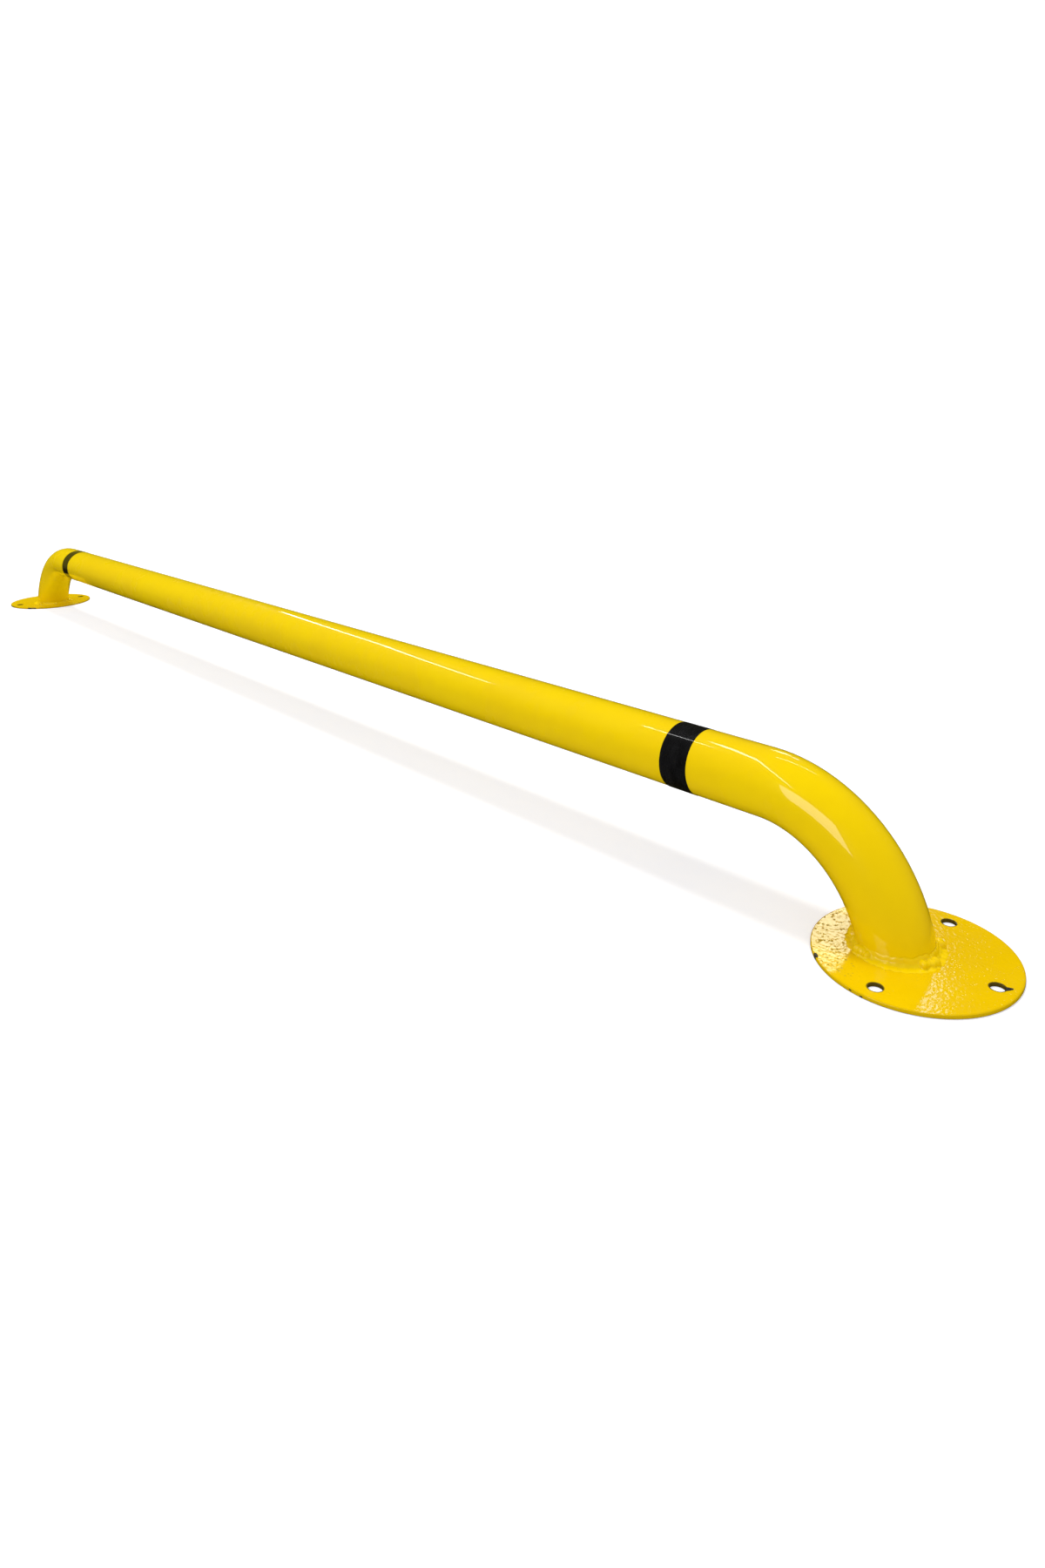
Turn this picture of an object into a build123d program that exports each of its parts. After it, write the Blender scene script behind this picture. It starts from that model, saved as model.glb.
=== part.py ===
from build123d import *
import math
import os

# Low steel protection rail: one tube bent down at both ends, welded to two round foot plates that
# are anchored to the ground, with a black marking band near each end.
# Frame: origin on the ground under the middle of the rail, +X along the rail, +Z up. Millimetres.

# --- driving dimensions ---------------------------------------------------------------------------
rail_length = 2000.0  # overall length of the bent tube, measured across the sawn ends
tube_diameter = 60.0
tube_wall = 2.0
axis_height = 102.0  # middle of the horizontal run above the ground
bend_radius = 120.0  # centreline radius of both bends

plate_diameter = 155.0
plate_thickness = 3.0
plate_outset = 15.0  # the plate's centre lies this far outboard of the sawn end's centre
plate_edge_round = 0.6  # softened top rim
hole_diameter = 11.0  # clearance for M10 ground anchors
hole_edge_distance = 15.0  # from a hole's centre to the plate's rim
hole_count = 3  # front, outboard and back, none beneath the rail
hole_spacing_angle = 90.0

weld_leg = 5.0  # both legs of the fillet weld round each sawn end
weld_toe = 0.4  # thickness that is left where the bead fades into the tube

band_width = 30.0
band_thickness = 0.2
band_setback = {"left": 45.0, "right": 65.0}  # from the start of the bend to the band's outboard edge

# --- places worked out from them ------------------------------------------------------------------
tube_radius = tube_diameter / 2
plate_radius = plate_diameter / 2
hole_circle_radius = plate_radius - hole_edge_distance
holes_span_angle = (hole_count - 1) * hole_spacing_angle
bend_centre_z = axis_height - bend_radius  # below the plate's top, the bend is sawn before it is upright


def rise_over_bend_centre(z):
    """Height above the bend's centre, or 0 where the leg is already upright."""
    return max(0.0, z - bend_centre_z)


def leg_side(radius, z):
    """Distance outboard of the bend's start at which a wall of that radius passes height z."""
    return math.sqrt(radius**2 - rise_over_bend_centre(z) ** 2)


def leg_middle(z):
    """Centre of the leg's outline at height z, outboard of the bend's start."""
    return (leg_side(bend_radius + tube_radius, z) + leg_side(bend_radius - tube_radius, z)) / 2


def leg_half_width(z):
    """Half the leg's outline along X at height z."""
    return (leg_side(bend_radius + tube_radius, z) - leg_side(bend_radius - tube_radius, z)) / 2


# the bend starts where the sawn ends come out at the overall length
bend_start_x = rail_length / 2 - leg_side(bend_radius + tube_radius, plate_thickness)
foot_x = bend_start_x + leg_middle(plate_thickness)
plate_x = foot_x + plate_outset

sides = {"left": -1, "right": 1}
os.makedirs("parts", exist_ok=True)


def write(builder, name):
    """Label a finished piece and write it under its own name."""
    builder.part.label = name
    export_step(builder.part, f"parts/{name}.step")


# --- rail tube ------------------------------------------------------------------------------------
# The centreline runs on below the plate's top at both ends, as the bent tube does before it is sawn.
leg_x = bend_start_x + bend_radius
uncut_end_z = min(bend_centre_z, 0.0) - tube_diameter

with BuildLine(Plane.XZ) as centreline:
    FilletPolyline(
        (-leg_x, uncut_end_z),
        (-leg_x, axis_height),
        (leg_x, axis_height),
        (leg_x, uncut_end_z),
        radius=bend_radius,
    )

uncut_end = Plane(origin=(-leg_x, 0, uncut_end_z))
ground_cut = Plane.XY.offset(plate_thickness)

with BuildPart() as rail_tube:
    with BuildSketch(uncut_end):
        Circle(tube_radius)
        Circle(tube_radius - tube_wall, mode=Mode.SUBTRACT)
    sweep(path=centreline.line)
    split(bisect_by=ground_cut, keep=Keep.TOP)
write(rail_tube, "rail_tube")

# the same bent shape without its bore, to cut the weld beads to the tube
with BuildPart() as bent_bar:
    with BuildSketch(uncut_end):
        Circle(tube_radius)
    sweep(path=centreline.line)

# --- foot plates ----------------------------------------------------------------------------------
# Flat discs cut from plate. Three anchor holes, the middle one on the outboard side.
for side, sign in sides.items():
    outboard_angle = 0 if sign > 0 else 180
    with BuildPart() as foot_plate:
        with BuildSketch(Plane.XY):
            with Locations((sign * plate_x, 0)):
                Circle(plate_radius)
                with PolarLocations(
                    hole_circle_radius,
                    hole_count,
                    start_angle=outboard_angle - holes_span_angle / 2,
                    angular_range=holes_span_angle,
                    endpoint=True,
                ):
                    Circle(hole_diameter / 2, mode=Mode.SUBTRACT)
        extrude(amount=plate_thickness)
        top_rim = foot_plate.faces().sort_by(Axis.Z)[-1].outer_wire().edges()
        fillet(top_rim, radius=plate_edge_round)
    write(foot_plate, f"{side}_foot_plate")

# --- foot welds -----------------------------------------------------------------------------------
# A fillet bead all round the sawn end, standing on the plate and cut to the leaning leg.
bead_top_z = plate_thickness + weld_leg
for side, sign in sides.items():
    with BuildPart() as foot_weld:
        with BuildSketch(Plane.XY.offset(plate_thickness)):
            with Locations((sign * foot_x, 0)):
                Ellipse(leg_half_width(plate_thickness) + weld_leg, tube_radius + weld_leg)
        with BuildSketch(Plane.XY.offset(bead_top_z)):
            with Locations((sign * (bend_start_x + leg_middle(bead_top_z)), 0)):
                Ellipse(leg_half_width(bead_top_z) + weld_toe, tube_radius + weld_toe)
        loft()
        add(bent_bar.part, mode=Mode.SUBTRACT)
    write(foot_weld, f"{side}_foot_weld")

# --- marking bands --------------------------------------------------------------------------------
# Black tape wound once round the straight run.
for side, sign in sides.items():
    band_x = bend_start_x - band_setback[side] - band_width / 2
    band_middle = Plane.YZ.offset(sign * band_x)
    with BuildPart() as band:
        with BuildSketch(band_middle):
            with Locations((0, axis_height)):
                Circle(tube_radius + band_thickness)
                Circle(tube_radius, mode=Mode.SUBTRACT)
        extrude(amount=band_width / 2, both=True)
    write(band, f"{side}_band")
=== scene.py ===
import math
import random

import bmesh
import bpy
from mathutils import Matrix, Vector


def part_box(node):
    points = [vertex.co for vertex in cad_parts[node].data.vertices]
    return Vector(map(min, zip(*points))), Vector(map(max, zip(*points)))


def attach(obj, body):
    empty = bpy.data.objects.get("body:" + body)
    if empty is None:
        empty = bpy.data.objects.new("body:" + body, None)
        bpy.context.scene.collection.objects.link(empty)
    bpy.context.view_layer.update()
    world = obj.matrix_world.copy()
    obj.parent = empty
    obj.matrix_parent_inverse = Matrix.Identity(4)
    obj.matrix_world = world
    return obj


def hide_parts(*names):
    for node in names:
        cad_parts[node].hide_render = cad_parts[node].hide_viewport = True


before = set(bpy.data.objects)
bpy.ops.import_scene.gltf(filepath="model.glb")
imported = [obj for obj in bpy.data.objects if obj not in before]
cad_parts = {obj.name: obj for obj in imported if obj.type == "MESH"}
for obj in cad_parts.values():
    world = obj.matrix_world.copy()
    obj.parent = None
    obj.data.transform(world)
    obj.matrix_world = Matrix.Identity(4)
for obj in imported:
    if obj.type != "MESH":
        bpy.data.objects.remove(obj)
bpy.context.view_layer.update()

# ---- The rail -------------------------------------------------------------------------------
# One length of 60 mm steel tube with a 2 mm wall, bent down at both ends on a 120 mm former and
# sawn flat where the ends land on the foot plates. It is sprayed yellow together with its feet,
# and the enamel lies smoother and glossier on the round tube than on the plates and the welds.

tube_low, tube_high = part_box("rail_tube")
tube_radius = (tube_high.y - tube_low.y) / 2
tube_wall = 0.002
bend_radius = 0.120
rail_height = tube_high.z - tube_radius
saw_height = tube_low.z
bend_drop = rail_height - bend_radius
bend_start = tube_high.x - math.sqrt((bend_radius + tube_radius) ** 2 - (saw_height - bend_drop) ** 2)
rings_along = 85
rings_round_bend = 26
spin_past_saw = math.radians(84.5)


def start_fresh():
    """Nothing stays selected from the piece before."""
    if bpy.context.mode != "OBJECT":
        bpy.ops.object.mode_set(mode="OBJECT")
    bpy.ops.object.select_all(action="DESELECT")


def pick(kind, wanted):
    """In edit mode, selects just the verts, edges or faces that pass the test."""
    mesh = bpy.context.object.data
    bpy.ops.mesh.select_all(action="DESELECT")
    bpy.ops.mesh.select_mode(type={"verts": "VERT", "edges": "EDGE", "faces": "FACE"}[kind])
    work = bmesh.from_edit_mesh(mesh)
    for part in getattr(work, kind):
        part.select_set(bool(wanted(part)))
    work.select_flush_mode()
    bmesh.update_edit_mesh(mesh)


def middle(edge):
    """Middle point of an edge."""
    return (edge.verts[0].co + edge.verts[1].co) / 2


def apply_modifier(piece, kind, **settings):
    """Adds a modifier, sets it and applies it."""
    step = piece.modifiers.new(kind.lower(), kind)
    for name, value in settings.items():
        setattr(step, name, value)
    bpy.ops.object.modifier_apply(modifier=step.name)


def settle(piece, smooth_angle):
    """Puts the piece's place into its mesh and smooths what isn't a real corner."""
    start_fresh()
    piece.select_set(True)
    bpy.context.view_layer.objects.active = piece
    bpy.ops.object.transform_apply(location=True, rotation=True, scale=True)
    bpy.ops.object.shade_smooth_by_angle(angle=math.radians(smooth_angle))


start_fresh()
bpy.ops.mesh.primitive_circle_add(
    vertices=96,
    radius=tube_radius,
    location=(-bend_start, 0, rail_height),
    rotation=(0, math.pi / 2, 0),
)
rail = bpy.context.object
rail.name = "bent_rail"
bpy.ops.object.transform_apply(location=True, rotation=True, scale=True)
bpy.ops.object.mode_set(mode="EDIT")
bpy.ops.mesh.select_all(action="SELECT")
for ring in range(rings_along):
    bpy.ops.mesh.extrude_region_move(
        TRANSFORM_OT_translate={"value": (2 * bend_start / rings_along, 0, 0)}
    )
for side in (1, -1):
    pick("edges", lambda e: abs(e.verts[0].co.x - side * bend_start) < 1e-5
         and abs(e.verts[1].co.x - side * bend_start) < 1e-5)
    bpy.ops.mesh.spin(
        steps=rings_round_bend,
        angle=-side * spin_past_saw,
        center=(side * bend_start, 0, bend_drop),
        axis=(0, 1, 0),
    )
bpy.ops.mesh.select_all(action="SELECT")
bpy.ops.mesh.remove_doubles(threshold=0.00001)
bpy.ops.mesh.normals_make_consistent(inside=False)
bpy.ops.object.mode_set(mode="OBJECT")
apply_modifier(rail, "SOLIDIFY", thickness=tube_wall, offset=-1, use_even_offset=True)
bpy.ops.object.mode_set(mode="EDIT")
bpy.ops.mesh.select_all(action="SELECT")
bpy.ops.mesh.bisect(plane_co=(0, 0, saw_height), plane_no=(0, 0, 1), clear_inner=True)
for side in (1, -1):
    pick("edges", lambda e: e.is_boundary and side * e.verts[0].co.x > 0)
    bpy.ops.mesh.bridge_edge_loops()
bpy.ops.object.mode_set(mode="OBJECT")
settle(rail, 35)


def new_group(name, inputs, outputs):
    """A shader node group with named sockets; gives back its tree, its input and output nodes."""
    tree = bpy.data.node_groups.new(name, "ShaderNodeTree")
    for label, kind, value in inputs:
        socket = tree.interface.new_socket(name=label, in_out="INPUT", socket_type=kind)
        if value is not None:
            socket.default_value = value
    for label, kind in outputs:
        tree.interface.new_socket(name=label, in_out="OUTPUT", socket_type=kind)
    return tree, tree.nodes.new("NodeGroupInput"), tree.nodes.new("NodeGroupOutput")


def calc(tree, operation, first, second=None, third=None, clamp=False):
    """A Math node fed with sockets or plain numbers; gives back its result."""
    node = tree.nodes.new("ShaderNodeMath")
    node.operation = operation
    node.use_clamp = clamp
    for slot, value in enumerate((first, second, third)):
        if value is None:
            continue
        if isinstance(value, (int, float)):
            node.inputs[slot].default_value = value
        else:
            tree.links.new(value, node.inputs[slot])
    return node.outputs[0]


def ramp(tree, value, low, high, to_low=0.0, to_high=1.0):
    """A smooth step from one value to another."""
    node = tree.nodes.new("ShaderNodeMapRange")
    node.interpolation_type = "SMOOTHSTEP"
    tree.links.new(value, node.inputs["Value"])
    for label, number in (("From Min", low), ("From Max", high), ("To Min", to_low), ("To Max", to_high)):
        if isinstance(number, (int, float)):
            node.inputs[label].default_value = number
        else:
            tree.links.new(number, node.inputs[label])
    return node.outputs["Result"]


def noise(tree, vector, scale, detail=2.0, rough=0.5, stretch=None, shift=None):
    """Noise over the piece, stretched if wanted."""
    if stretch or shift:
        mapping = tree.nodes.new("ShaderNodeMapping")
        mapping.inputs["Scale"].default_value = stretch or (1, 1, 1)
        mapping.inputs["Location"].default_value = shift or (0, 0, 0)
        tree.links.new(vector, mapping.inputs["Vector"])
        vector = mapping.outputs["Vector"]
    node = tree.nodes.new("ShaderNodeTexNoise")
    node.inputs["Detail"].default_value = detail
    node.inputs["Roughness"].default_value = rough
    if isinstance(scale, (int, float)):
        node.inputs["Scale"].default_value = scale
    else:
        tree.links.new(scale, node.inputs["Scale"])
    tree.links.new(vector, node.inputs["Vector"])
    return node.outputs["Fac"]


def specks(tree, vector, scale, size):
    """Small round specks, one to a cell, and a number for each cell to keep a share of them."""
    node = tree.nodes.new("ShaderNodeTexVoronoi")
    node.feature = "F1"
    if isinstance(scale, (int, float)):
        node.inputs["Scale"].default_value = scale
    else:
        tree.links.new(scale, node.inputs["Scale"])
    tree.links.new(vector, node.inputs["Vector"])
    split = tree.nodes.new("ShaderNodeSeparateColor")
    tree.links.new(node.outputs["Color"], split.inputs["Color"])
    return ramp(tree, node.outputs["Distance"], size, 0.0), split.outputs["Red"]


def mix_colour(tree, share, first, second):
    """Mixes two colours by a share."""
    node = tree.nodes.new("ShaderNodeMix")
    node.data_type = "RGBA"
    if isinstance(share, (int, float)):
        node.inputs[0].default_value = share
    else:
        tree.links.new(share, node.inputs[0])
    for slot, value in ((6, first), (7, second)):
        if isinstance(value, tuple):
            node.inputs[slot].default_value = value
        else:
            tree.links.new(value, node.inputs[slot])
    return node.outputs[2]


# orange peel: the enamel's soft waves, with a few dust nibs caught in it
peel, peel_in, peel_out = new_group(
    "orange_peel",
    [("Vector", "NodeSocketVector", None), ("Cells Per Metre", "NodeSocketFloat", 250.0),
     ("Coarse Share", "NodeSocketFloat", 0.5), ("Nib Share", "NodeSocketFloat", 0.06)],
    [("Height", "NodeSocketFloat"), ("Nibs", "NodeSocketFloat")],
)
fine_waves = noise(peel, peel_in.outputs["Vector"], peel_in.outputs["Cells Per Metre"], 1.0, 0.4)
coarse_scale = calc(peel, "MULTIPLY", peel_in.outputs["Cells Per Metre"], 0.28)
coarse_waves = noise(peel, peel_in.outputs["Vector"], coarse_scale, 1.0, 0.5)
coarse_part = calc(peel, "MULTIPLY", coarse_waves, peel_in.outputs["Coarse Share"])
waves = calc(peel, "ADD", fine_waves, coarse_part)
nib_shape, nib_luck = specks(peel, peel_in.outputs["Vector"], 90.0, 0.07)
nib_kept = calc(peel, "LESS_THAN", nib_luck, peel_in.outputs["Nib Share"])
nibs = calc(peel, "MULTIPLY", nib_shape, nib_kept)
peel.links.new(calc(peel, "ADD", waves, calc(peel, "MULTIPLY", nibs, 2.0)), peel_out.inputs["Height"])
peel.links.new(nibs, peel_out.inputs["Nibs"])

# sprayed colour: thinner and thicker passes of the gun make it slightly lighter and deeper
passes, passes_in, passes_out = new_group(
    "sprayed_colour",
    [("Vector", "NodeSocketVector", None), ("Color", "NodeSocketColor", (0.8, 0.5, 0.0, 1.0)),
     ("Deep Color", "NodeSocketColor", (0.7, 0.4, 0.0, 1.0))],
    [("Color", "NodeSocketColor"), ("Cloud", "NodeSocketFloat")],
)
wide_cloud = noise(passes, passes_in.outputs["Vector"], 7.0, 3.0, 0.55)
fine_cloud = noise(passes, passes_in.outputs["Vector"], 60.0, 2.0, 0.5)
wide_part = calc(passes, "MULTIPLY", wide_cloud, 0.75)
fine_part = calc(passes, "MULTIPLY", fine_cloud, 0.25)
cloud = ramp(passes, calc(passes, "ADD", wide_part, fine_part), 0.36, 0.66)
passes.links.new(
    mix_colour(passes, cloud, passes_in.outputs["Deep Color"], passes_in.outputs["Color"]),
    passes_out.inputs["Color"],
)
passes.links.new(cloud, passes_out.inputs["Cloud"])

# handling marks: faint hairline rubs from stacking and carrying
rubs, rubs_in, rubs_out = new_group(
    "handling_rubs",
    [("Vector", "NodeSocketVector", None), ("Share", "NodeSocketFloat", 0.5)],
    [("Rubs", "NodeSocketFloat")],
)
rub_lines = None
for stretch, shift in (((9, 900, 900), (0, 0, 0)), ((260, 60, 700), (3.1, 1.7, 0.4))):
    streak = ramp(rubs, noise(rubs, rubs_in.outputs["Vector"], 1.0, 2.0, 0.6, stretch, shift), 0.66, 0.72)
    rub_lines = streak if rub_lines is None else calc(rubs, "MAXIMUM", rub_lines, streak)
rub_patches = ramp(rubs, noise(rubs, rubs_in.outputs["Vector"], 16.0, 2.0, 0.5), 0.5, 0.64)
rub_lines = calc(rubs, "MULTIPLY", rub_lines, rub_patches)
rubs.links.new(calc(rubs, "MULTIPLY", rub_lines, rubs_in.outputs["Share"]), rubs_out.inputs["Rubs"])

# workshop dust that lies on what faces up
dust, dust_in, dust_out = new_group(
    "workshop_dust",
    [("Vector", "NodeSocketVector", None), ("Share", "NodeSocketFloat", 0.3)],
    [("Dust", "NodeSocketFloat")],
)
facing = dust.nodes.new("ShaderNodeNewGeometry")
facing_split = dust.nodes.new("ShaderNodeSeparateXYZ")
dust.links.new(facing.outputs["Normal"], facing_split.inputs["Vector"])
upward = ramp(dust, facing_split.outputs["Z"], 0.55, 1.0)
dust_clouds = ramp(dust, noise(dust, dust_in.outputs["Vector"], 35.0, 4.0, 0.6), 0.42, 0.75)
dust_grain = ramp(dust, noise(dust, dust_in.outputs["Vector"], 1400.0, 1.0, 0.5), 0.55, 0.7)
dust_here = calc(dust, "MULTIPLY", calc(dust, "MULTIPLY", upward, dust_clouds), dust_grain)
dust.links.new(calc(dust, "MULTIPLY", dust_here, dust_in.outputs["Share"]), dust_out.inputs["Dust"])


def new_material(name):
    """An empty node material with its shader, output and object coordinates."""
    material = bpy.data.materials.new(name)
    material.use_nodes = True
    tree = material.node_tree
    tree.nodes.clear()
    shader = tree.nodes.new("ShaderNodeBsdfPrincipled")
    output = tree.nodes.new("ShaderNodeOutputMaterial")
    tree.links.new(shader.outputs["BSDF"], output.inputs["Surface"])
    place = tree.nodes.new("ShaderNodeTexCoord")
    return material, tree, shader, place.outputs["Object"]


def use_group(tree, group, **values):
    """Places a shared group in a material, with this material's own values."""
    node = tree.nodes.new("ShaderNodeGroup")
    node.node_tree = group
    for label, value in values.items():
        socket = node.inputs[label.replace("_", " ")]
        if isinstance(value, bpy.types.NodeSocket):
            tree.links.new(value, socket)
        else:
            socket.default_value = value
    return node.outputs


def bump(tree, height, depth, strength=1.0, under=None):
    """A Bump node whose height is in metres times the given depth."""
    node = tree.nodes.new("ShaderNodeBump")
    node.inputs["Distance"].default_value = depth
    node.inputs["Strength"].default_value = strength
    tree.links.new(height, node.inputs["Height"])
    if under is not None:
        tree.links.new(under, node.inputs["Normal"])
    return node.outputs["Normal"]


signal_yellow = (0.915, 0.648, 0.0003, 1.0)
deep_yellow = (0.885, 0.608, 0.0002, 1.0)
dust_colour = (0.70, 0.58, 0.20, 1.0)

rail_enamel, tree, shader, here = new_material("rail_enamel")
colour = use_group(tree, passes, Vector=here, Color=signal_yellow, Deep_Color=deep_yellow)
skin = use_group(tree, peel, Vector=here, Cells_Per_Metre=240.0, Coarse_Share=0.8, Nib_Share=0.04)
marks = use_group(tree, rubs, Vector=here, Share=0.5)
lying = use_group(tree, dust, Vector=here, Share=0.05)
tree.links.new(mix_colour(tree, lying["Dust"], colour["Color"], dust_colour), shader.inputs["Base Color"])
gloss = ramp(tree, colour["Cloud"], 0.0, 1.0, 0.30, 0.24)
gloss = calc(tree, "ADD", gloss, calc(tree, "MULTIPLY", marks["Rubs"], 0.25))
gloss = calc(tree, "ADD", gloss, calc(tree, "MULTIPLY", lying["Dust"], 0.6))
tree.links.new(gloss, shader.inputs["Roughness"])
shader.inputs["Coat Weight"].default_value = 0.95
shader.inputs["Coat Roughness"].default_value = 0.03
shader.inputs["Specular IOR Level"].default_value = 0.05
tree.links.new(bump(tree, skin["Height"], 0.000012), shader.inputs["Normal"])
rail.data.materials.append(rail_enamel)

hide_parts("rail_tube")
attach(rail, "root")

# ---- The foot plates ------------------------------------------------------------------------
# Two round discs of 3 mm plate, plasma cut, with the rim rubbed down and three clearance holes
# for M10 ground anchors: front, outboard and back. They lie flat on the ground, and the thick
# enamel on them has dried with a coarse peel, pinholes, inboard speckles and chips at the edges.

hole_radius = 0.0055
hole_from_rim = 0.015
rim_round = 0.0006
hole_round = 0.0003
face_border = 0.0004
feet = {}


def from_middle(point, plate_x):
    """Distance from the plate's middle, seen from above."""
    return math.hypot(point.x - plate_x, point.y)


def borders_side(edge, height):
    """Whether the edge lies in the flat face at that height and borders a rim or a hole."""
    flat = all(abs(v.co.z - height) < 1e-6 for v in edge.verts)
    return flat and any(abs(f.normal.z) < 0.5 for f in edge.link_faces)


for side, sign in (("right", 1), ("left", -1)):
    low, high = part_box(side + "_foot_plate")
    plate_radius = (high.y - low.y) / 2
    plate_x = (low.x + high.x) / 2
    plate_top = high.z
    hole_circle = plate_radius - hole_from_rim
    start_fresh()
    bpy.ops.mesh.primitive_cylinder_add(
        vertices=160,
        radius=plate_radius,
        depth=high.z - low.z,
        location=(plate_x, 0, (low.z + high.z) / 2),
    )
    foot = bpy.context.object
    foot.name = side + "_foot"
    bpy.ops.object.transform_apply(location=True, rotation=True, scale=True)
    for x, y in ((0, -hole_circle), (sign * hole_circle, 0), (0, hole_circle)):
        start_fresh()
        bpy.ops.mesh.primitive_cylinder_add(
            vertices=48,
            radius=hole_radius,
            depth=0.02,
            location=(plate_x + x, y, plate_top / 2),
        )
        drill = bpy.context.object
        start_fresh()
        foot.select_set(True)
        bpy.context.view_layer.objects.active = foot
        apply_modifier(foot, "BOOLEAN", operation="DIFFERENCE", solver="EXACT", object=drill)
        bpy.data.objects.remove(drill)
    bpy.ops.object.mode_set(mode="EDIT")
    pick("edges", lambda e: (borders_side(e, high.z) or borders_side(e, low.z))
         and from_middle(middle(e), plate_x) > plate_radius - 0.001)
    bpy.ops.mesh.bevel(offset=rim_round, segments=4, profile=0.5, affect="EDGES")
    pick("edges", lambda e: (borders_side(e, high.z) or borders_side(e, low.z))
         and from_middle(middle(e), plate_x) < plate_radius - 0.003)
    bpy.ops.mesh.bevel(offset=hole_round, segments=3, profile=0.5, affect="EDGES")
    pick("faces", lambda f: f.normal.z > 0.999)
    bpy.ops.mesh.inset(thickness=face_border, use_boundary=True)
    pick("faces", lambda f: f.normal.z < -0.999)
    bpy.ops.mesh.inset(thickness=face_border, use_boundary=True)
    bpy.ops.object.mode_set(mode="OBJECT")
    settle(foot, 40)
    feet[side] = foot

# Painted shade: the plates carry the rail's enamel painted darker than on the tube.
plate_shaded_yellow = (0.835, 0.545, 0.0003, 1.0)
plate_shaded_deep_yellow = (0.80, 0.51, 0.0002, 1.0)
rim_dark_yellow = (0.42, 0.27, 0.004, 1.0)
hole_shade_and_grime = (0.045, 0.032, 0.010, 1.0)
pinhole_grime = (0.20, 0.12, 0.01, 1.0)
speckle_grime = (0.22, 0.15, 0.01, 1.0)
bottom_edge_shade = (0.12, 0.075, 0.006, 1.0)
bare_steel = (0.06, 0.055, 0.05, 1.0)

plate_enamel, tree, shader, here = new_material("plate_enamel")
axes = tree.nodes.new("ShaderNodeSeparateXYZ")
tree.links.new(here, axes.inputs["Vector"])
across = calc(tree, "SUBTRACT", calc(tree, "ABSOLUTE", axes.outputs["X"]), abs(plate_x))
aside = calc(tree, "ABSOLUTE", axes.outputs["Y"])


def reach(x, y):
    """Distance from a point of the plate, seen from above, the same on both feet."""
    dx = calc(tree, "SUBTRACT", across, x)
    dy = calc(tree, "SUBTRACT", aside, y)
    squares = calc(tree, "ADD", calc(tree, "MULTIPLY", dx, dx), calc(tree, "MULTIPLY", dy, dy))
    return calc(tree, "SQRT", squares)


rim_near = ramp(tree, reach(0.0, 0.0), plate_radius - 0.0022, plate_radius - 0.0002)
hole_near = calc(tree, "MINIMUM", reach(0.0, hole_circle), reach(hole_circle, 0.0))
hole_edge = ramp(tree, hole_near, hole_radius + 0.0012, hole_radius)
edge_near = calc(tree, "MAXIMUM", rim_near, hole_edge)
chip_noise = noise(tree, here, 95.0, 3.0, 0.6)
chip_level = ramp(tree, noise(tree, here, 22.0, 1.0, 0.5), 0.35, 0.75, 0.80, 0.54)
chips = calc(tree, "GREATER_THAN", calc(tree, "MULTIPLY", chip_noise, edge_near), chip_level)


def scuff(x, y, long_way, half_long, half_wide):
    """One mark knocked into the right foot: 1 inside a ragged ellipse turned the long way."""
    dx = calc(tree, "SUBTRACT", axes.outputs["X"], abs(plate_x) + x)
    dy = calc(tree, "SUBTRACT", axes.outputs["Y"], y)
    turn = math.radians(long_way)
    lengthwise = calc(tree, "ADD", calc(tree, "MULTIPLY", dx, math.cos(turn) / half_long),
                      calc(tree, "MULTIPLY", dy, math.sin(turn) / half_long))
    crosswise = calc(tree, "ADD", calc(tree, "MULTIPLY", dx, -math.sin(turn) / half_wide),
                     calc(tree, "MULTIPLY", dy, math.cos(turn) / half_wide))
    span = calc(tree, "SQRT", calc(tree, "ADD", calc(tree, "MULTIPLY", lengthwise, lengthwise),
                                   calc(tree, "MULTIPLY", crosswise, crosswise)))
    return ramp(tree, calc(tree, "ADD", span, calc(tree, "MULTIPLY", chip_noise, 0.7)), 1.42, 1.22)


outboard_scuff = scuff(0.0676, 0.0014, 50, 0.0062, 0.0022)
inboard_scuff = scuff(-0.0520, -0.0560, -47, 0.0034, 0.0016)
for mark in (outboard_scuff, inboard_scuff):
    chips = calc(tree, "MAXIMUM", chips, mark)
pin_shape, pin_luck = specks(tree, here, 260.0, 0.16)
pinholes = calc(tree, "MULTIPLY", pin_shape, calc(tree, "LESS_THAN", pin_luck, 0.05))
pinholes = calc(tree, "MULTIPLY", pinholes, ramp(tree, noise(tree, here, 30.0, 1.0, 0.5), 0.48, 0.6))
colour = use_group(tree, passes, Vector=here, Color=plate_shaded_yellow, Deep_Color=plate_shaded_deep_yellow)
skin = use_group(tree, peel, Vector=here, Cells_Per_Metre=300.0, Coarse_Share=0.5, Nib_Share=0.3)
marks = use_group(tree, rubs, Vector=here, Share=0.6)
lying = use_group(tree, dust, Vector=here, Share=0.08)
pit_shape, pit_luck = specks(tree, here, 330.0, 0.42)
pits = calc(tree, "MULTIPLY", pit_shape, calc(tree, "LESS_THAN", pit_luck, 0.8))
pits = calc(tree, "MULTIPLY", pits, ramp(tree, noise(tree, here, 150.0, 2.0, 0.6), 0.40, 0.54))
grimy_pits = calc(tree, "MULTIPLY", pits, ramp(tree, across, -0.010, -0.034))
painted = mix_colour(tree, lying["Dust"], colour["Color"], dust_colour)
# The outer 2 mm of the top and the rim's side are mixed 30% toward a darker yellow.
rim_darkening = calc(tree, "MULTIPLY", rim_near, 0.30)
painted = mix_colour(tree, rim_darkening, painted, rim_dark_yellow)
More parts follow.
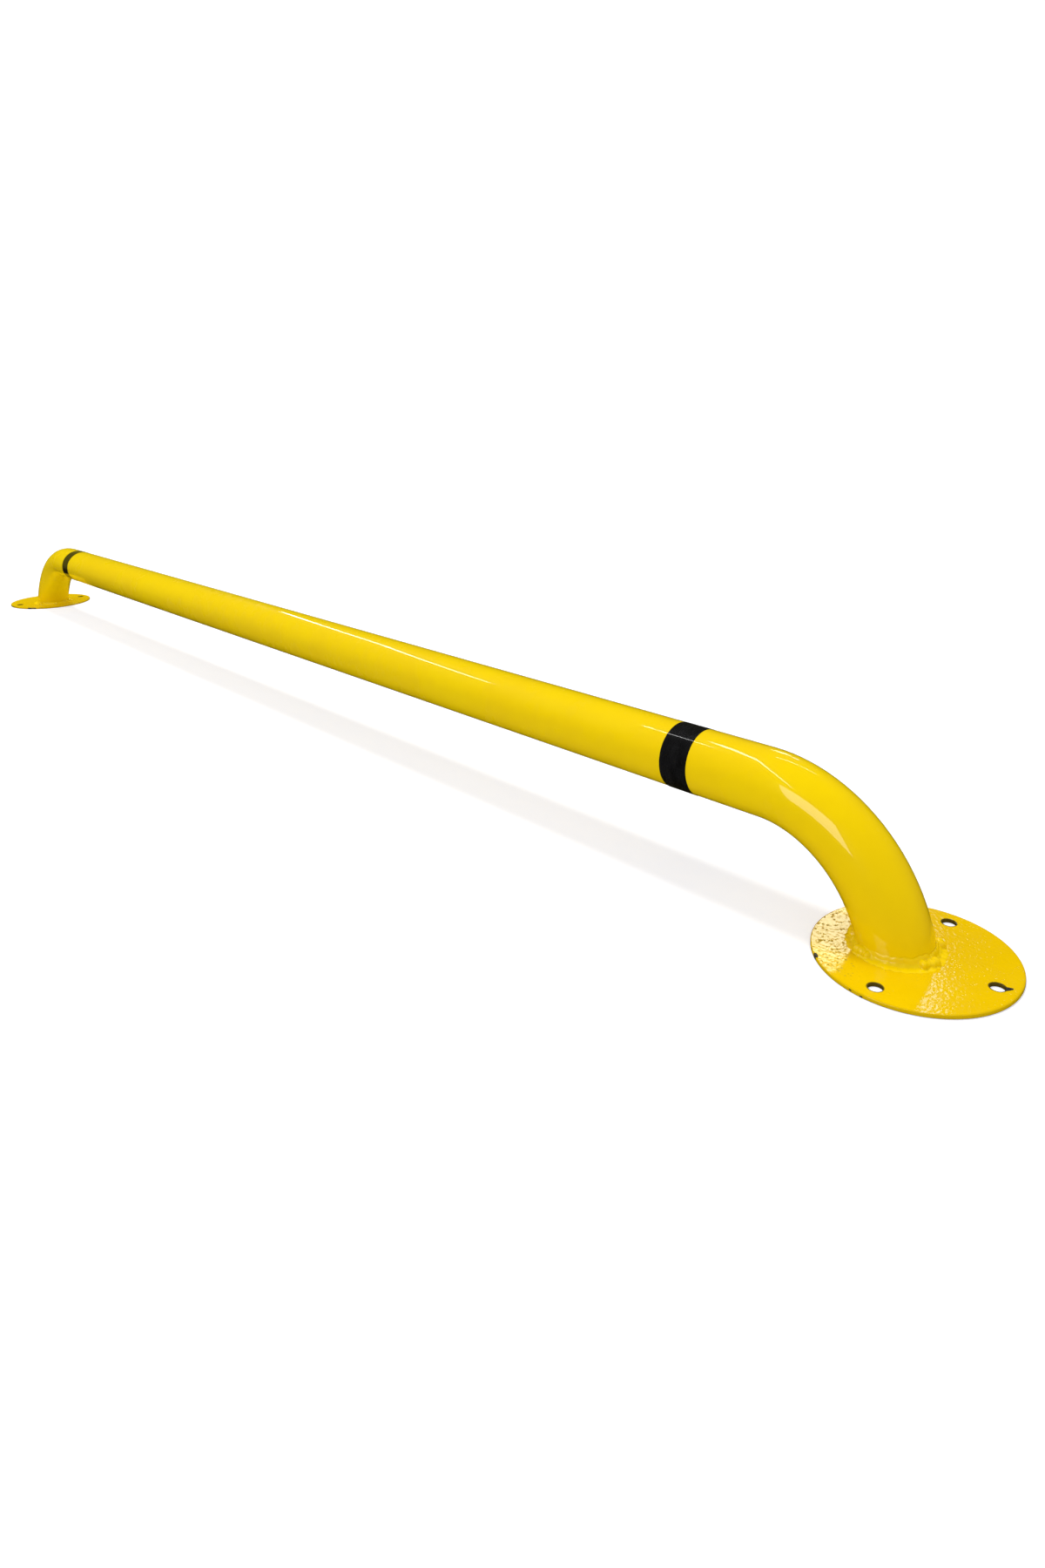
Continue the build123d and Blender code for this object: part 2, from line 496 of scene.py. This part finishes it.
# Painted shade: the bore walls and a ring 1 to 2 mm wide round each hole are darkened nearly to black,
# over the grime on the bore's bare steel.
bore = ramp(tree, calc(tree, "ADD", hole_near, calc(tree, "MULTIPLY", chip_noise, 0.0010)),
            hole_radius + 0.0019, hole_radius + 0.0010)
painted = mix_colour(tree, calc(tree, "MULTIPLY", bore, 0.92), painted, hole_shade_and_grime)
painted = mix_colour(tree, calc(tree, "MULTIPLY", pinholes, 0.75), painted, pinhole_grime)
painted = mix_colour(tree, calc(tree, "MULTIPLY", grimy_pits, 0.8), painted, speckle_grime)
# Painted shade: the lowest millimetre of the rim and the underside are darkened where the plate meets the
# floor.
ragged_height = calc(tree, "ADD", axes.outputs["Z"], calc(tree, "MULTIPLY", chip_noise, 0.0006))
arris = ramp(tree, ragged_height, 0.0011, 0.0005)
painted = mix_colour(tree, calc(tree, "MULTIPLY", arris, 0.8), painted, bottom_edge_shade)
painted = mix_colour(tree, chips, painted, bare_steel)
tree.links.new(painted, shader.inputs["Base Color"])
gloss = ramp(tree, colour["Cloud"], 0.0, 1.0, 0.11, 0.07)
gloss = calc(tree, "ADD", gloss, calc(tree, "MULTIPLY", marks["Rubs"], 0.3))
gloss = calc(tree, "ADD", gloss, calc(tree, "MULTIPLY", lying["Dust"], 0.6))
gloss = calc(tree, "ADD", gloss, calc(tree, "MULTIPLY", grimy_pits, 0.55))
gloss = calc(tree, "ADD", gloss, calc(tree, "MULTIPLY", chips, 0.25), clamp=True)
tree.links.new(gloss, shader.inputs["Roughness"])
tree.links.new(calc(tree, "MULTIPLY", chips, 0.6), shader.inputs["Metallic"])
shader.inputs["Specular IOR Level"].default_value = 0.5
relief = calc(tree, "SUBTRACT", skin["Height"], calc(tree, "MULTIPLY", pinholes, 1.2))
relief = calc(tree, "SUBTRACT", relief, calc(tree, "MULTIPLY", pits, 1.3))
relief = calc(tree, "SUBTRACT", relief, calc(tree, "MULTIPLY", chips, 1.5))
tree.links.new(bump(tree, relief, 0.00013), shader.inputs["Normal"])

for side, foot in feet.items():
    foot.data.materials.append(plate_enamel)
    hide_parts(side + "_foot_plate")
    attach(foot, "root")

# ---- The welds ------------------------------------------------------------------------------
# A fillet weld runs all round each sawn end. It is laid by hand with five restarts, so the
# ripples are uneven, the restarts stand up as lumps, and a few drops of spatter stick to the
# plate beside it. The enamel rounds everything off.

foot_x = (
    bend_start
    + (math.sqrt((bend_radius + tube_radius) ** 2 - (saw_height - bend_drop) ** 2)
       + math.sqrt((bend_radius - tube_radius) ** 2 - (saw_height - bend_drop) ** 2)) / 2
)
foot_half_x = tube_high.x - foot_x
weld_seed = {"right": 11, "left": 29}
drop_pitch = 0.0048
half_drop = 0.0072
weld_voxel = 0.00042
weld_sink = 0.0002
restarts = ((-118, 3), (-28, 4), (40, 2), (118, 3), (188, 3))
welds = {}


def add_drop(place, size, turn):
    """One drop of weld metal, an uneven ball stretched to its size."""
    bpy.ops.mesh.primitive_ico_sphere_add(subdivisions=2, radius=1.0, location=place, rotation=turn)
    drop = bpy.context.object
    drop.scale = size
    return drop


for side, sign in (("right", 1), ("left", -1)):
    luck = random.Random(weld_seed[side])
    drops = []
    start_fresh()
    around = 2 * math.pi * tube_radius
    count = round(around / drop_pitch)
    swell = [luck.uniform(0, 2 * math.pi) for wave in range(3)]
    for n in range(count):
        angle = 2 * math.pi * (n + luck.uniform(-0.25, 0.25)) / count
        out = Vector((sign * math.cos(angle), math.sin(angle), 0))
        wander = 0.5 * math.sin(3 * angle + swell[0]) + 0.3 * math.sin(7 * angle + swell[1])
        leg = 0.0042 + 0.0006 * wander + luck.uniform(-0.0004, 0.0005)
        rise = leg * luck.uniform(0.85, 1.15)
        level = math.atan2(out.y, out.x)
        root = Vector((sign * foot_x + out.x * foot_half_x, out.y * tube_radius, saw_height))
        lower = Vector((0, 0, -0.0014))
        body = (leg + 0.0004, half_drop, rise + 0.0008)
        toe = (leg + 0.0046, half_drop, 0.0021)
        climb = (0.0020, half_drop, rise + 0.0036)
        drops.append(add_drop(root - out * 0.0006 + lower, body, (0, 0, level)))
        drops.append(add_drop(root + lower * 0.5, toe, (0, 0, level)))
        drops.append(add_drop(root - out * 0.0008, climb, (0, 0, level)))
    for at, length in restarts:
        for n in range(length):
            angle = math.radians(at + 6.5 * n + luck.uniform(-2, 2))
            out = Vector((sign * math.cos(angle), math.sin(angle), 0))
            bulge = luck.uniform(0.0036, 0.0052)
            place = Vector((
                sign * foot_x + out.x * (foot_half_x + luck.uniform(0.0014, 0.0030)),
                out.y * (tube_radius + luck.uniform(0.0014, 0.0030)),
                saw_height + luck.uniform(0.0010, 0.0030),
            ))
            size = (bulge, bulge * luck.uniform(0.6, 0.9), bulge * luck.uniform(0.7, 1.0))
            drops.append(add_drop(place, size, (0, 0, math.atan2(out.y, out.x) + luck.uniform(-0.5, 0.5))))
    for n in range(6):
        angle = luck.uniform(0, 2 * math.pi)
        far = foot_half_x + luck.uniform(0.008, 0.017)
        ball = luck.uniform(0.0007, 0.0014)
        place = (sign * foot_x + far * math.cos(angle), far * math.sin(angle), saw_height + 0.1 * ball)
        drops.append(add_drop(place, (ball, ball * 0.9, ball * 0.8), (0, 0, angle)))
    start_fresh()
    for drop in drops:
        drop.select_set(True)
    bpy.context.view_layer.objects.active = drops[0]
    bpy.ops.object.join()
    weld = bpy.context.object
    weld.name = side + "_weld_bead"
    bpy.ops.object.transform_apply(location=True, rotation=True, scale=True)
    apply_modifier(weld, "REMESH", mode="VOXEL", voxel_size=weld_voxel)
    apply_modifier(weld, "SMOOTH", factor=0.5, iterations=14)
    bpy.ops.object.mode_set(mode="EDIT")
    bpy.ops.mesh.select_all(action="SELECT")
    bpy.ops.mesh.bisect(plane_co=(0, 0, saw_height - weld_sink), plane_no=(0, 0, 1), clear_inner=True)
    pick("edges", lambda e: e.is_boundary)
    bpy.ops.mesh.fill(use_beauty=False)
    bpy.ops.mesh.select_all(action="SELECT")
    bpy.ops.mesh.normals_make_consistent(inside=False)
    bpy.ops.object.mode_set(mode="OBJECT")
    settle(weld, 60)
    welds[side] = weld

# Painted light: the welds carry the rail's enamel painted lighter than on the tube, to lift the shade in
# the corner between weld and tube.
weld_lit_yellow = (0.98, 0.69, 0.0003, 1.0)
weld_lit_deep_yellow = (0.94, 0.64, 0.0002, 1.0)
weld_grime = (0.25, 0.15, 0.005, 1.0)

weld_enamel, tree, shader, here = new_material("weld_enamel")
colour = use_group(tree, passes, Vector=here, Color=weld_lit_yellow, Deep_Color=weld_lit_deep_yellow)
skin = use_group(tree, peel, Vector=here, Cells_Per_Metre=520.0, Coarse_Share=0.8, Nib_Share=0.4)
lying = use_group(tree, dust, Vector=here, Share=0.08)
pit_shape, pit_luck = specks(tree, here, 420.0, 0.2)
pits = calc(tree, "MULTIPLY", pit_shape, calc(tree, "LESS_THAN", pit_luck, 0.05))
painted = mix_colour(tree, lying["Dust"], colour["Color"], dust_colour)
painted = mix_colour(tree, calc(tree, "MULTIPLY", pits, 0.7), painted, weld_grime)
tree.links.new(painted, shader.inputs["Base Color"])
gloss = ramp(tree, colour["Cloud"], 0.0, 1.0, 0.20, 0.12)
gloss = calc(tree, "ADD", gloss, calc(tree, "MULTIPLY", lying["Dust"], 0.5))
tree.links.new(gloss, shader.inputs["Roughness"])
shader.inputs["Specular IOR Level"].default_value = 0.5
relief = calc(tree, "SUBTRACT", skin["Height"], calc(tree, "MULTIPLY", pits, 1.5))
tree.links.new(bump(tree, relief, 0.00008), shader.inputs["Normal"])

for side, weld in welds.items():
    weld.data.materials.append(weld_enamel)
    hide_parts(side + "_foot_weld")
    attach(weld, "root")

# ---- The marking bands ----------------------------------------------------------------------
# One turn of 30 mm glossy black vinyl tape near each bend, pulled tight by hand and lapped over
# itself on the underside. Its edges wander by a hair and the free end stands up very slightly.

tape_thickness = 0.00012
tape_gap = 0.00003
tape_lap = math.radians(24)
lap_middle = math.radians(250)
tape_steps = 180
tape_rows = 10
edge_inset = 0.00012
edge_wander = 0.00006
bands = {}
for side, seed in (("right", 5), ("left", 8)):
    luck = random.Random(seed)
    low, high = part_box(side + "_band")
    start_fresh()
    bpy.ops.mesh.primitive_grid_add(
        x_subdivisions=tape_rows,
        y_subdivisions=1,
        size=1.0,
        location=((low.x + high.x) / 2, 0, 0),
    )
    band = bpy.context.object
    band.name = side + "_tape_band"
    band.scale = (high.x - low.x, 0.001, 1)
    bpy.ops.object.transform_apply(location=True, rotation=True, scale=True)
    bpy.ops.object.mode_set(mode="EDIT")
    pick("verts", lambda v: v.co.y > 0)
    bpy.ops.mesh.delete(type="VERT")
    # leaving edit mode once renumbers the points, and the rows below are counted by number
    bpy.ops.object.mode_set(mode="OBJECT")
    bpy.ops.object.mode_set(mode="EDIT")
    bpy.ops.mesh.select_all(action="SELECT")
    start_angle = lap_middle - tape_lap / 2
    work = bmesh.from_edit_mesh(band.data)
    for v in work.verts:
        v.co.y = (tube_radius + tape_gap) * math.cos(start_angle)
        v.co.z = rail_height + (tube_radius + tape_gap) * math.sin(start_angle)
    bmesh.update_edit_mesh(band.data)
    bpy.ops.mesh.spin(
        steps=tape_steps,
        angle=2 * math.pi + tape_lap,
        center=((low.x + high.x) / 2, 0, rail_height),
        axis=(1, 0, 0),
    )
    bpy.ops.object.mode_set(mode="OBJECT")
    row = tape_rows + 1
    wander = [luck.uniform(0, 2 * math.pi) for wave in range(4)]
    for v in band.data.vertices:
        turn = (v.index // row) / tape_steps * (2 * math.pi + tape_lap)
        lap = (turn - 2 * math.pi + math.radians(6)) / math.radians(6)
        lap = min(1.0, max(0.0, lap))
        lifted = max(0.0, (turn - 2 * math.pi - tape_lap + math.radians(5)) / math.radians(5))
        grow = lap * lap * (3 - 2 * lap) * (tape_thickness + tape_gap) + lifted ** 2 * 0.0002
        radius = tube_radius + tape_gap + grow
        angle = start_angle + turn
        edge = (v.co.x - (low.x + high.x) / 2) / ((high.x - low.x) / 2)
        sway = math.sin(2 * angle + wander[0]) + 0.6 * math.sin(5 * angle + wander[1])
        v.co.x -= edge_inset * edge + edge_wander * edge * sway + 0.0004 * lap * lifted
        v.co.y = radius * math.cos(angle)
        v.co.z = rail_height + radius * math.sin(angle)
    bpy.ops.object.mode_set(mode="EDIT")
    bpy.ops.mesh.select_all(action="SELECT")
    bpy.ops.mesh.remove_doubles(threshold=0.000001)
    bpy.ops.mesh.normals_make_consistent(inside=False)
    bpy.ops.object.mode_set(mode="OBJECT")
    test = band.data.polygons[len(band.data.polygons) // 3]
    outward = Vector((0, test.center.y, test.center.z - rail_height))
    apply_modifier(
        band, "SOLIDIFY", thickness=tape_thickness, offset=1 if test.normal.dot(outward) > 0 else -1
    )
    if test.normal.dot(outward) < 0:
        bpy.ops.object.mode_set(mode="EDIT")
        bpy.ops.mesh.select_all(action="SELECT")
        bpy.ops.mesh.normals_make_consistent(inside=False)
        bpy.ops.object.mode_set(mode="OBJECT")
    settle(band, 35)
    bands[side] = band

black_vinyl = (0.0042, 0.0042, 0.0048, 1.0)
greyer_vinyl = (0.0080, 0.0080, 0.0090, 1.0)
rubbed_vinyl = (0.07, 0.07, 0.075, 1.0)
grey_dust = (0.16, 0.155, 0.14, 1.0)

band_vinyl, tree, shader, here = new_material("band_vinyl")
soft_waves = noise(tree, here, 60.0, 2.0, 0.5, (2.2, 1.0, 1.0))
pull_lines = noise(tree, here, 1.0, 2.0, 0.6, (1500, 120, 120))
grain = noise(tree, here, 2600.0, 1.0, 0.5)
lying = use_group(tree, dust, Vector=here, Share=0.10)
marks = use_group(tree, rubs, Vector=here, Share=0.8)
tone = ramp(tree, soft_waves, 0.3, 0.7)
black = mix_colour(tree, tone, black_vinyl, greyer_vinyl)
black = mix_colour(tree, calc(tree, "MULTIPLY", marks["Rubs"], 0.25), black, rubbed_vinyl)
black = mix_colour(tree, lying["Dust"], black, grey_dust)
tree.links.new(black, shader.inputs["Base Color"])
gloss = ramp(tree, pull_lines, 0.3, 0.7, 0.24, 0.32)
gloss = calc(tree, "ADD", gloss, calc(tree, "MULTIPLY", marks["Rubs"], 0.2))
tree.links.new(gloss, shader.inputs["Roughness"])
tree.links.new(calc(tree, "SUBTRACT", 0.6, lying["Dust"], clamp=True), shader.inputs["Coat Weight"])
shader.inputs["Coat Roughness"].default_value = 0.03
shader.inputs["Specular IOR Level"].default_value = 0.06
relief = calc(tree, "ADD", soft_waves, calc(tree, "MULTIPLY", pull_lines, 0.06))
relief = calc(tree, "ADD", relief, calc(tree, "MULTIPLY", grain, 0.02))
tree.links.new(bump(tree, relief, 0.000012), shader.inputs["Normal"])

for side, band in bands.items():
    band.data.materials.append(band_vinyl)
    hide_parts(side + "_band")
    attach(band, "root")

# ---- The floor ------------------------------------------------------------------------------
# A plain studio floor. It lights the rail from below and takes its shadow, and a little glow that
# only the camera sees makes it nearly white. It stays out of the mirror images.

start_fresh()
bpy.ops.mesh.primitive_plane_add(size=60, location=(0, 0, 0))
floor = bpy.context.object
floor.name = "studio_floor"
floor.visible_glossy = False
paper, tree, shader, here = new_material("floor_paper")
paper_tone = ramp(tree, noise(tree, here, 3.0, 3.0, 0.5), 0.3, 0.7)
tree.links.new(
    mix_colour(tree, paper_tone, (0.655, 0.655, 0.655, 1.0), (0.67, 0.67, 0.67, 1.0)),
    shader.inputs["Base Color"],
)
shader.inputs["Roughness"].default_value = 0.9
shader.inputs["Specular IOR Level"].default_value = 0.0
looked_at = tree.nodes.new("ShaderNodeLightPath")
shader.inputs["Emission Color"].default_value = (0.90, 0.91, 1, 1)
glow = calc(tree, "MULTIPLY", looked_at.outputs["Is Camera Ray"], 0.45)
tree.links.new(glow, shader.inputs["Emission Strength"])
floor.data.materials.append(paper)

# ---- The light ------------------------------------------------------------------------------
# Soft even light from all round, a broad sun 19 degrees off overhead for the pale shadow, and two
# weak fill lamps. Mirror images see something else: a dim warm room with brighter end walls,
# ceiling tubes that draw fine lines on the enamel, and panels at the bend and the near foot.

world = bpy.data.worlds.new("studio")
bpy.context.scene.world = world
world.use_nodes = True
tree = world.node_tree
tree.nodes.clear()
path = tree.nodes.new("ShaderNodeLightPath")
sky = tree.nodes.new("ShaderNodeTexCoord")
sky_split = tree.nodes.new("ShaderNodeSeparateXYZ")
tree.links.new(sky.outputs["Generated"], sky_split.inputs["Vector"])
far_side = ramp(tree, calc(tree, "ABSOLUTE", sky_split.outputs["X"]), 0.60, 0.98)
above_skirting = ramp(tree, sky_split.outputs["Z"], -0.26, 0.02)
far_wall = calc(tree, "MULTIPLY", far_side, above_skirting)
room = calc(tree, "ADD", 0.015, calc(tree, "MULTIPLY", far_wall, 0.40))
open_level = calc(tree, "ADD", 0.78, calc(tree, "MULTIPLY", path.outputs["Is Camera Ray"], 0.6))
mirror_share = path.outputs["Is Glossy Ray"]
plain_share = calc(tree, "SUBTRACT", 1.0, mirror_share)
plain_part = calc(tree, "MULTIPLY", open_level, plain_share)
level = calc(tree, "ADD", plain_part, calc(tree, "MULTIPLY", room, mirror_share))
background = tree.nodes.new("ShaderNodeBackground")
tree.links.new(
    mix_colour(tree, mirror_share, (1.0, 1.0, 1.0, 1.0), (1.0, 0.80, 0.02, 1.0)),
    background.inputs["Color"],
)
tree.links.new(level, background.inputs["Strength"])
world_output = tree.nodes.new("ShaderNodeOutputWorld")
tree.links.new(background.outputs["Background"], world_output.inputs["Surface"])

sun_data = bpy.data.lights.new("soft_sun", "SUN")
sun_data.energy = 1.25
sun_data.angle = math.radians(10)
sun = bpy.data.objects.new("soft_sun", sun_data)
sun.rotation_euler = Vector((-0.32, 0.14, 1.0)).to_track_quat("Z", "Y").to_euler()
sun.visible_glossy = False
bpy.context.scene.collection.objects.link(sun)


def add_panel(name, centre, along, wide, tall, radiance, aim, tint=(1, 1, 1)):
    """A rectangular lamp that only shows in mirror images; wide lies along the given direction."""
    data = bpy.data.lights.new(name, "AREA")
    data.color = tint
    data.shape = "RECTANGLE"
    data.size = wide
    data.size_y = tall
    data.energy = radiance * math.pi * wide * tall
    lamp = bpy.data.objects.new(name, data)
    back = (Vector(centre) - Vector(aim)).normalized()
    across = Vector(along).normalized()
    across = (across - back * across.dot(back)).normalized()
    up = back.cross(across)
    turn = Matrix((across, up, back)).transposed().to_4x4()
    lamp.matrix_world = Matrix.Translation(centre) @ turn
    lamp.visible_diffuse = False
    lamp.visible_camera = False
    lamp.visible_transmission = False
    bpy.context.scene.collection.objects.link(lamp)


def add_tube_lamp(name, start, end, width, radiance):
    """A thin ceiling tube from one point to another, facing down."""
    start = Vector(start)
    end = Vector(end)
    centre = (start + end) / 2
    add_panel(name, centre, end - start, (end - start).length, width, radiance, centre - Vector((0, 0, 1)))


add_tube_lamp("far_ceiling_tube", (-2.90, 0.45, 2.5), (-5.0, 1.90, 2.5), 0.09, 11.0)
add_tube_lamp("second_ceiling_tube", (-2.12, -0.80, 2.5), (-2.90, 0.45, 2.5), 0.09, 11.0)
add_tube_lamp("third_ceiling_tube", (-1.10, -0.20, 2.5), (-0.78, -0.33, 2.5), 0.04, 26.0)
add_tube_lamp("near_ceiling_tube", (-0.78, 0.46, 2.5), (0.28, -2.35, 2.5), 0.08, 11.0)
add_tube_lamp("back_ceiling_tube", (-0.25, 1.18, 2.5), (0.68, 1.95, 2.5), 0.06, 10.0)


panel_distance = 3.0


def toward(azimuth, elevation):
    """The direction with that compass angle from +X and that angle above the floor, in degrees."""
    turn = math.radians(azimuth)
    rise = math.radians(elevation)
    return Vector((math.cos(turn) * math.cos(rise), math.sin(turn) * math.cos(rise), math.sin(rise)))


def add_far_panel(name, seen_from, azimuth, elevation, wide, tall, slant, radiance, tint=(1, 1, 1)):
    """A soft panel 3 m away, seen from a point of the rail at those angles; sizes are in degrees."""
    way = toward(azimuth, elevation)
    level = Vector((way.y, -way.x, 0)).normalized()
    rising = level.cross(way)
    along = level * math.cos(math.radians(slant)) + rising * math.sin(math.radians(slant))
    width, height = [2 * panel_distance * math.tan(math.radians(angle / 2)) for angle in (wide, tall)]
    add_panel(name, seen_from + way * panel_distance, along, width, height, radiance, seen_from, tint)


bend_face = Vector((bend_start + 0.060, -0.027, rail_height))
plate_face = Vector((abs(plate_x), 0, saw_height))
greenish_white = (0.93, 1.0, 0.75)
cool_white = (0.45, 0.8, 1.0)
add_far_panel("front_panel", bend_face, -93.5, 23.5, 31, 25, 0, 3.4)
add_far_panel("back_panel_left", plate_face, 120.4, 27.4, 6.5, 4.6, -42, 6.4, greenish_white)
add_far_panel("back_panel_right", plate_face, 114.6, 30.6, 2.6, 4.5, 0, 4.0, cool_white)

for name, size, energy, place, aim in (
    ("far_fill", 1.4, 5.6, (-0.95, -0.9, 1.4), (-0.80, -0.40, 0.0)),
    ("near_fill", 0.4, 0.6, (1.12, -0.72, 0.42), (0.95, 0.0, 0.06)),
):
    fill_data = bpy.data.lights.new(name, "AREA")
    fill_data.shape = "DISK"
    fill_data.size = size
    fill_data.energy = energy
    fill = bpy.data.objects.new(name, fill_data)
    fill.location = place
    fill.rotation_euler = (Vector(place) - Vector(aim)).to_track_quat("Z", "Y").to_euler()
    fill.visible_glossy = False
    fill.visible_camera = False
    bpy.context.scene.collection.objects.link(fill)

# ---- The camera -----------------------------------------------------------------------------
# It stands beyond the near foot, on the front side, a little above knee height.

camera_data = bpy.data.cameras.new("camera")
camera = bpy.data.objects.new("camera", camera_data)
bpy.context.scene.collection.objects.link(camera)
right = Vector((0.6996, 0.7145, -0.0078)).normalized()
upward_way = Vector((-0.0581, 0.0678, 0.996))
back = right.cross(upward_way).normalized()
upward_way = back.cross(right).normalized()
camera_place = Matrix.Translation((1.3024, -0.7024, 0.4268))
camera.matrix_world = camera_place @ Matrix((right, upward_way, back)).transposed().to_4x4()
camera_data.sensor_fit = "VERTICAL"
camera_data.sensor_height = 36.0
camera_data.lens = 22.445
camera_data.shift_x = -0.0159
camera_data.shift_y = -0.1869
camera_data.clip_end = 200
bpy.context.scene.camera = camera
bpy.context.scene.view_settings.view_transform = "Standard"
bpy.context.scene.view_settings.look = "None"
